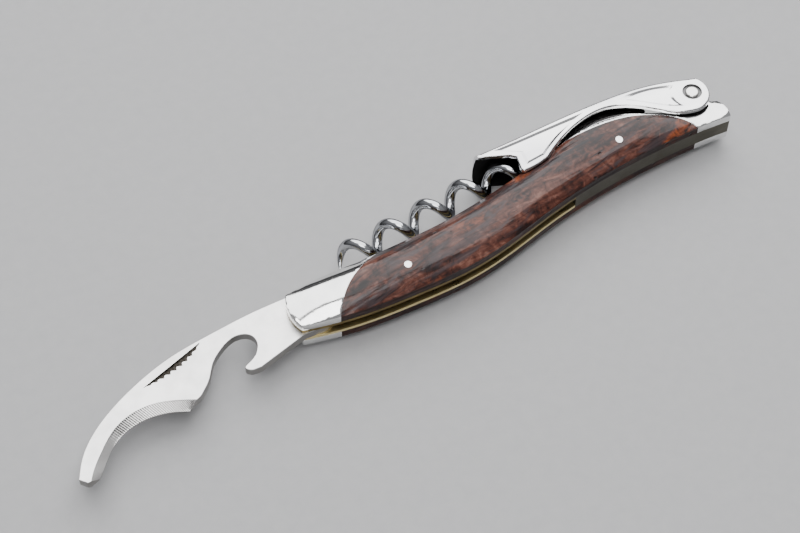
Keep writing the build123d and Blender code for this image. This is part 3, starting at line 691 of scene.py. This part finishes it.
def build_worm(metal):
    """The worm: one round wire, ground to a point at its free end."""
    count = round(COIL_TURNS * RINGS_PER_TURN)
    turns = [COIL_TURNS * step / count for step in range(count + 1)]
    centres = [worm_centre(turn) for turn in turns]
    tangent = (centres[-1] - centres[-2]).normalized()
    centres.append(centres[-1] + tangent * SOCKET_DEPTH)
    turns.append(COIL_TURNS)
    mesh = bmesh.new()
    rings = []
    side = Vector((0, 0, 1))
    last = len(centres) - 1
    for index, (turn, centre) in enumerate(zip(turns, centres)):
        ahead = (centres[min(index + 1, last)] - centres[max(index - 1, 0)]).normalized()
        side = (side - ahead * side.dot(ahead)).normalized()
        up = ahead.cross(side)
        share = min(1.0, turn / POINT_TURNS)
        growth = math.sin(math.pi / 2 * share) ** POINT_SHAPE
        radius = POINT_RADIUS + (WIRE_RADIUS - POINT_RADIUS) * growth
        rings.append(add_ring(mesh, [
            centre + (side * math.cos(angle) + up * math.sin(angle)) * radius
            for angle in (2 * math.pi * step / RING_SIDES for step in range(RING_SIDES))]))
    for first, second in zip(rings, rings[1:]):
        bridge(mesh, first, second)
    mesh.faces.new(rings[0])
    mesh.faces.new(rings[-1])
    bmesh.ops.recalc_face_normals(mesh, faces=mesh.faces)
    piece = new_piece("worm_wire", mesh, (metal,), crease=WIRE_CREASE)
    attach(piece, "worm")
    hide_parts("worm")


# ---------------------------------------------------------------- finishes on the CAD nodes
BOLSTERS = ("upper_front_bolster", "lower_front_bolster", "upper_rear_bolster", "lower_rear_bolster")
BOLSTER_ROUNDING = 0.16
ROUNDED_FROM = 32.0         # degrees between two faces from which their edge is broken
WELD_REACH = 0.001


def soften(node, width):
    """Breaks a piece's sharp edges, as polishing does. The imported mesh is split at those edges, so it is
    welded first."""
    weld = node.modifiers.new("weld", "WELD")
    weld.merge_threshold = WELD_REACH * MM
    rounding = node.modifiers.new("rounding", "BEVEL")
    rounding.width = width * MM
    rounding.segments = 2
    rounding.limit_method = "ANGLE"
    rounding.angle_limit = math.radians(ROUNDED_FROM)
    rounding.harden_normals = True


def dress_nodes(finishes):
    """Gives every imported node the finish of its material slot, but the lever its own, and softens the
    bolsters."""
    for part in record["subparts"]:
        node = nodes[part["node"]]
        node.data.materials.clear()
        node.data.materials.append(finishes[part["material_slot"]])
    nodes["lever"].data.materials[0] = lever_steel()
    for name in BOLSTERS:
        soften(nodes[name], BOLSTER_ROUNDING)


# ---------------------------------------------------------------- stage
FLOOR_SIZE = 3000.0


def add_floor():
    """Plain pale floor under the knife."""
    mesh = bmesh.new()
    half = FLOOR_SIZE / 2
    corners = add_ring(mesh, [(-half, -half, 0), (half, -half, 0), (half, half, 0), (-half, half, 0)])
    mesh.faces.new(corners)
    floor = new_piece("floor", mesh, (floor_paper(),))


def add_light(name, place_mm, aim_mm, size, watts):
    """Square soft box, size in millimetres."""
    data = bpy.data.lights.new(name, "AREA")
    data.shape = "SQUARE"
    data.size = size * MM
    data.energy = watts
    lamp = bpy.data.objects.new(name, data)
    lamp.location = Vector(place_mm) * MM
    lamp.rotation_mode = "QUATERNION"
    lamp.rotation_quaternion = (Vector(aim_mm) - Vector(place_mm)).to_track_quat("-Z", "Y")
    bpy.context.scene.collection.objects.link(lamp)


def add_world():
    """Even studio surroundings: light overhead, dimmer towards the horizon."""
    world = bpy.data.worlds.new("studio")
    world.use_nodes = True
    tree = world.node_tree
    direction = put(tree, "ShaderNodeTexCoord").outputs["Generated"]
    height = put(tree, "ShaderNodeSeparateXYZ", {"Vector": direction}).outputs["Z"]
    colour = ramp(tree, height, (
        (0.00, (0.04, 0.04, 0.042)), (0.10, (0.06, 0.06, 0.064)), (0.30, (0.16, 0.16, 0.165)),
        (0.60, (0.30, 0.30, 0.31)), (1.00, (0.42, 0.42, 0.43))))
    background = tree.nodes["Background"]
    tree.links.new(colour, background.inputs["Color"])
    bpy.context.scene.world = world


# ---------------------------------------------------------------- the scene
add_camera()
satin_steel = steel("blade_steel", colour=(0.82, 0.81, 0.80), rough=0.30, scratch_turn=math.radians(-60),
                    scratch_depth=0.003)
finishes = {
    "burl_wood": burl_wood(),
    "polished_steel": steel("polished_steel", colour=(0.84, 0.84, 0.83), rough=0.06),
    "liner_brass": liner_brass(),
    "spring_steel": steel("spring_steel", colour=(0.105, 0.098, 0.078), rough=0.36, scratch_depth=0.006,
                          haze=0.12),
    "pin_steel": steel("pin_steel", colour=(0.86, 0.85, 0.83), rough=0.12),
    "blade_steel": satin_steel,
    "worm_steel": steel("worm_steel", colour=(0.56, 0.57, 0.59), rough=0.09, edge=(0.10, 0.10, 0.11)),
}
dress_nodes(finishes)
# painted shade: the thumbnail nick's groove coloured near black
nick_shade_steel = steel("nick_shade_steel", colour=(0.085, 0.076, 0.065), rough=0.42)
# painted shade: the blade's side walls coloured darker grey than its faces
side_shade_steel = steel("side_shade_steel", colour=(0.30, 0.29, 0.28), rough=0.32, scratch_depth=0.004)
build_blade(satin_steel, serrated_steel(), nick_shade_steel, side_shade_steel)
build_worm(finishes["worm_steel"])
add_floor()
add_light("back_box", (170, 360, 560), (0, 0, 0), size=900, watts=10.0)
add_light("top_box", (-100, -220, 720), (0, 0, 0), size=420, watts=3.2)
add_light("belly_box", (-330, -700, 190), (-10, 0, 5), size=240, watts=1.2)
add_world()
